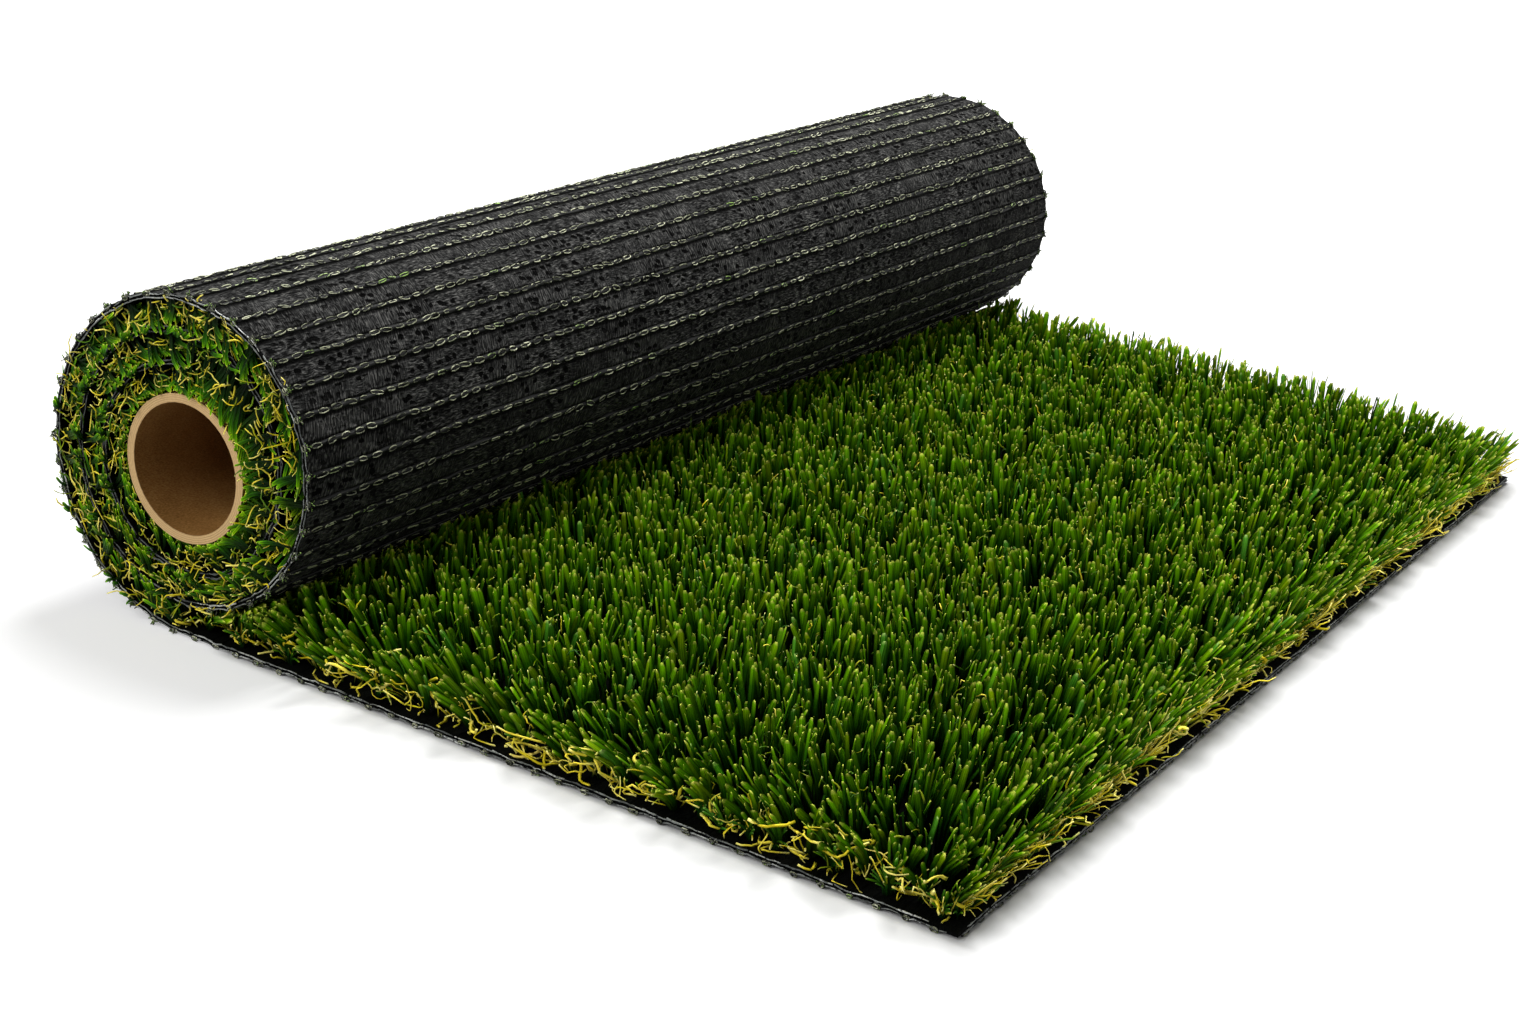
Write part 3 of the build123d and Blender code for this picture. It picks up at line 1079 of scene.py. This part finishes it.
def row_cords(strands, rows, width, proud, step):
    """The uneven cord that the loops of each row lie on: near black, partly dark yarn and partly painted
    shade under the loops.
    """
    shape = (len(rows), int((FAR_Y - NEAR_Y - 0.004) / step))
    y = np.linspace(NEAR_Y + 0.002, FAR_Y - 0.002, shape[1])[None, :]
    run = rows[:, None] + random.normal(0, width * 0.12, shape)
    height = -(THICKNESS / 2 + proud * random.uniform(-0.2, 0.15, shape))
    _, _, inward = sheet_frame(run)
    wide = width * random.uniform(0.7, 1.2, shape)
    # Near-black tints: painted shade under the loops
    tint = random.uniform(0.0, 0.05, len(rows))
    strands.add(sheet_point(run, y, height), wide, wide * 0.35, -inward, tint)


def sew_roll(material):
    """The stitch rows on the outer turn."""
    strands = Strands()
    rows = rows_in_winding(0.004, OUTER_LENGTH - 0.012)
    row_cords(strands, rows, 0.0036, STITCH_PROUD * 0.4, 0.012)
    lengths = np.interp(rows, (HALF_TURN_ENDS[0], OUTER_LENGTH), (LINK_LENGTH, LINK_LENGTH * 1.4))
    chain_links(strands, rows, lengths, STITCH_PROUD)
    return strands.build("stitch_rows_roll", material)


def sew_underside(material):
    """The stitch rows under the laid run, and the chain along its free edge."""
    strands = Strands()
    rows = rows_in_winding(-LAID_LENGTH, 0.004)
    row_cords(strands, rows, 0.0030, STITCH_PROUD * 0.8, 0.0075)
    edge = np.array([-(LAID_LENGTH - 0.0006)])
    chain_links(strands, edge, np.array([LINK_LENGTH * 0.9]), STITCH_PROUD * 0.9)
    return strands.build("stitch_rows_underside", material)


def sew_row_ends(material):
    """A knot where each row is cut off, on both sides of the sheet, with loose yarn at it."""
    strands = Strands()
    last = OUTER_LENGTH - 0.02
    for _, end_y, outward in SHEET_ENDS:
        add_knots(strands, rows_in_winding(-LAID_LENGTH, last), end_y, outward)
        add_loose_ends(strands, rows_in_winding(-LAID_LENGTH, 0.0), end_y, outward, 4, 0.0030)
        add_loose_ends(strands, rows_in_winding(0.0, last), end_y, outward, 11, 0.0052)
    return strands.build("row_ends", material)


def add_knots(strands, rows, end_y, outward):
    """Small rings round the cloth's lower edge."""
    turn = circle(6)
    run = scattered(rows, 3, 0.0007)
    number = len(run)
    radius = random.uniform(0.0010, 0.0018, (number, 1))
    y = end_y + outward * random.uniform(-0.0004, 0.0008, (number, 1))
    along = run[:, None] + radius * 1.4 * np.cos(turn)
    height = -THICKNESS / 2 - 0.0001 + radius * np.sin(turn) * 0.85
    path = sheet_point(along, y, height)
    path[..., 2] = np.maximum(path[..., 2], -STITCH_PROUD + 0.0006)
    thick = random.uniform(0.0007, 0.0011, (number, 1))
    facing = np.array([[0.0, outward, 0.0]])
    strands.add(path, thick, thick * 0.6, facing, random.uniform(0.3, 1.0, number), closed=True)


def add_loose_ends(strands, rows, end_y, outward, count, longest):
    """Short crimped yarn that sticks out where each row is cut off."""
    run = scattered(rows, count, 0.0011)
    number = len(run)
    _, along, inward = sheet_frame(run)
    y = end_y - outward * random.uniform(-0.0005, 0.003, number)
    laid = run < 0
    root = sheet_point(run, y, np.full(number, -THICKNESS / 2))
    out_axis = np.array([0.0, outward, 0.0])
    lift = np.where(laid, 0.05, 0.8)[:, None]
    aim = out_axis * random.uniform(0.0, 0.8, (number, 1)) - inward * lift
    aim = aim + along * random.normal(0, 0.6, (number, 1))
    length = random.uniform(0.3, 1.0, number) * longest
    width = 0.0012 * random.uniform(0.7, 1.2, number)
    green = random.random(number) < 0.65
    tint = np.where(green, 0.99, random.uniform(0.3, 0.85, number))
    add_yarn(strands, crimped_paths(root, aim, length, 0.8, 5), width, 0.75, tint, 0.3)


def broken_line(total):
    """Five places along each thread of a broken line of the given length."""
    shortest, longest, gap = 0.004, 0.020, 0.005
    found = []
    place = random.uniform(0, longest)
    while place < total - shortest:
        length = random.uniform(shortest, longest)
        found.append((place, min(place + length, total)))
        place += length + random.uniform(0.0, gap)
    start, end = np.array(found).T[..., None]
    return start + (end - start) * np.linspace(0, 1, 5)


def edge_wave(run):
    """How far the lower cloth layer dips where a stitch row ends."""
    phase = (run + LAID_LENGTH - EDGE_MARGIN) / ROW_GAUGE
    from_row = np.abs(phase - np.round(phase)) * ROW_GAUGE
    return np.exp(-(from_row / 0.0022) ** 2)


def fray_edges(material):
    """Pale threads of the two cloth layers along every cut edge."""
    strands = Strands()
    for _, end_y, outward in SHEET_ENDS:
        for layer, dip in ((-0.30, 0.0015), (0.40, 0.0004)):
            for _ in range(2):
                run = broken_line(LAID_LENGTH + WOUND_LENGTH) - LAID_LENGTH
                wave = random.normal(0, 0.0002, run.shape) - edge_wave(run) * dip
                wave = wave + 0.0005 * smooth_field(run, outward, 13, 0.03)
                y = end_y + outward * (0.0001 + np.abs(random.normal(0, 0.0003, run.shape)))
                # The inner turns' threads get darker tints: painted shade between the turns
                light = np.where(run[:, 0] > OUTER_LENGTH, 0.5, 1.0)
                path = sheet_point(run, y, THICKNESS * layer + wave)
                add_threads(strands, path, (0, outward, 0), light)
    for layer in (0.18, 0.88):
        for _ in range(2):
            y = NEAR_Y + broken_line(FAR_Y - NEAR_Y)
            x = FREE_X + 0.0001 + np.abs(random.normal(0, 0.0003, y.shape))
            wave = random.normal(0, 0.0002, y.shape) + 0.0005 * smooth_field(y, 0, 14, 0.03)
            add_threads(strands, np.stack([x, y, THICKNESS * layer + wave], -1), (1, 0, 0), 1.0)
    return strands.build("edge_threads", material)


def add_threads(strands, path, outward, light):
    thick = random.uniform(0.0004, 0.0010, (len(path), 1))
    # light darkens the tints as painted shade
    tint = random.random(len(path)) ** 0.5 * 0.98 * light
    strands.add(path, thick, thick * 0.6, np.array([outward], float), tint)


def dress_nodes():
    """Give the CAD nodes that stay in view their finishes."""
    for node, material in (("backing", backing_material()), ("core_tube", cardboard_material())):
        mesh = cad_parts[node].data
        mesh.materials.clear()
        mesh.materials.append(material)


def set_camera():
    """The photograph's view: a 60 mm lens, looking down on the near end."""
    yaw, pitch, roll = -0.5180, -0.3607, 0.1082
    place = Vector((AXIS_X + 0.9300, NEAR_Y - 0.9795, 0.6058))
    ahead = Vector((math.sin(yaw) * math.cos(pitch), math.cos(yaw) * math.cos(pitch), math.sin(pitch)))
    level = ahead.cross(Vector((0, 0, 1))).normalized()
    upright = level.cross(ahead)
    right = level * math.cos(roll) + upright * math.sin(roll)
    up = upright * math.cos(roll) - level * math.sin(roll)
    camera = add_object("camera", bpy.data.cameras.new("camera"))
    camera.data.lens = 59.68
    camera.data.sensor_width = 36.0
    columns = Matrix((right, up, -ahead)).transposed()
    camera.matrix_world = Matrix.Translation(place) @ columns.to_4x4()
    bpy.context.scene.camera = camera


def seen_directly(shade):
    """1 for rays from the camera, and for mirrored and transmitted ones."""
    path = shade.node("ShaderNodeLightPath", {}, {})
    seen = Value(shade, path.outputs["Is Camera Ray"]) + Value(shade, path.outputs["Is Glossy Ray"])
    return (seen + Value(shade, path.outputs["Is Transmission Ray"])).apply("MINIMUM", 1.0)


def set_floor():
    """A white sweep that keeps the soft shadow, with a contact shadow painted by dimming its glow near the
    part.
    """
    shade = Shade(bpy.data.materials.new("floor_white"))
    seen = seen_directly(shade)
    grey = shade.mix(seen, shown(160, 160, 160), shown(226, 226, 226))
    matt = shade.node("ShaderNodeBsdfDiffuse", {}, {"Color": grey})
    place, x, y, _ = shade.place()
    reach = shade.value("ShaderNodeVectorMath", {"operation": "LENGTH"}, {0: place}, 1)
    # Painted contact shadow: the glow fades in over about 23 mm from the part's edges, faster past its ends
    middle = (FREE_X + AXIS_X) / 2 + 0.02
    past_x = ((x - middle).apply("ABSOLUTE") - (FREE_X - middle)).apply("MAXIMUM", 0.0)
    past_y = (y.apply("ABSOLUTE") - FAR_Y).apply("MAXIMUM", 0.0) * 3.0
    off_contact = shade.steps(past_x.hypot(past_y), -0.003, 0.023)
    strength = seen * (off_contact * 0.38 + shade.steps(reach, 0.55, 1.6) * 0.64)
    glow = shade.node("ShaderNodeEmission", {}, {"Color": WHITE, "Strength": strength})
    both = shade.node("ShaderNodeAddShader", {}, {0: matt.outputs[0], 1: glow.outputs[0]})
    half = 6.0
    level = -STITCH_PROUD
    mesh = bpy.data.meshes.new("floor")
    corners = [(-half, -half, level), (half, -half, level), (half, half, level), (-half, half, level)]
    mesh.from_pydata(corners, [], [(0, 1, 2, 3)])
    mesh.materials.append(shade.close(both))
    add_object("floor", mesh)


def set_world():
    """White where it is seen, and a plain soft fill elsewhere."""
    shade = Shade(bpy.data.worlds.new("studio"), "ShaderNodeOutputWorld")
    fill = 0.16
    strength = seen_directly(shade) * (1 - fill) + fill
    sky = shade.node("ShaderNodeBackground", {}, {"Color": WHITE, "Strength": strength})
    bpy.context.scene.world = shade.close(sky)


def add_lamp(name, place, target, size, power):
    lamp = bpy.data.lights.new(name, "AREA")
    lamp.shape = "DISK"
    lamp.size = size
    lamp.energy = power
    holder = add_object(name, lamp)
    holder.location = place
    aim = Vector(target) - Vector(place)
    holder.rotation_euler = aim.to_track_quat("-Z", "Y").to_euler()


def set_lamps():
    add_lamp("overhead", (-0.30, 0.66, 2.0), (0, 0, 0), 1.35, 56.0)
    add_lamp("front_left", (-0.8, -1.9, 1.4), (-0.1, -0.3, 0.1), 2.0, 31.0)


def fit_piece(piece, slot, *replaced):
    """Tie a piece to the body and hide the solids that it stands for; slot is not used."""
    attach(piece, "root")
    if replaced:
        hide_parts(*replaced)


def grow_everything():
    # The laid blades get a painted highlight on the ridge and painted shade at the edges; the wound tufts
    # are a brighter copy, painted light, with deeper painted foot shade and painted highlights on the edges
    grass = grass_material("grass_yarn", 1.0, 0.84, 1.22, 0.6)
    wound_grass = grass_material("wound_grass_yarn", 1.2, 0.96, 0.75, 1.5)
    thatch = thatch_material()
    stitch = stitch_material()
    for piece in grow_laid_pile(grass):
        fit_piece(piece, "grass_pile", "pile_laid")
    fit_piece(grow_laid_thatch(thatch), "grass_pile")
    for name, end_y, outward in SHEET_ENDS:
        tufts = grow_wound_end("wound_tufts_" + name, end_y, outward, wound_grass)
        fit_piece(tufts, "grass_pile", "pile_wound")
    for name, end_y, outward in SHEET_ENDS:
        fit_piece(grow_wound_thatch("wound_thatch_" + name, end_y, outward, thatch), "grass_pile")
    fit_piece(grow_pile_mass(pile_mass_material()), "grass_pile")
    for sew in (sew_roll, sew_underside, sew_row_ends):
        fit_piece(sew(stitch), "grass_pile")
    fit_piece(fray_edges(thread_material()), "coated_backing")


set_camera()
set_floor()
set_world()
set_lamps()
dress_nodes()
grow_everything()
bpy.context.scene.view_settings.view_transform = "Standard"
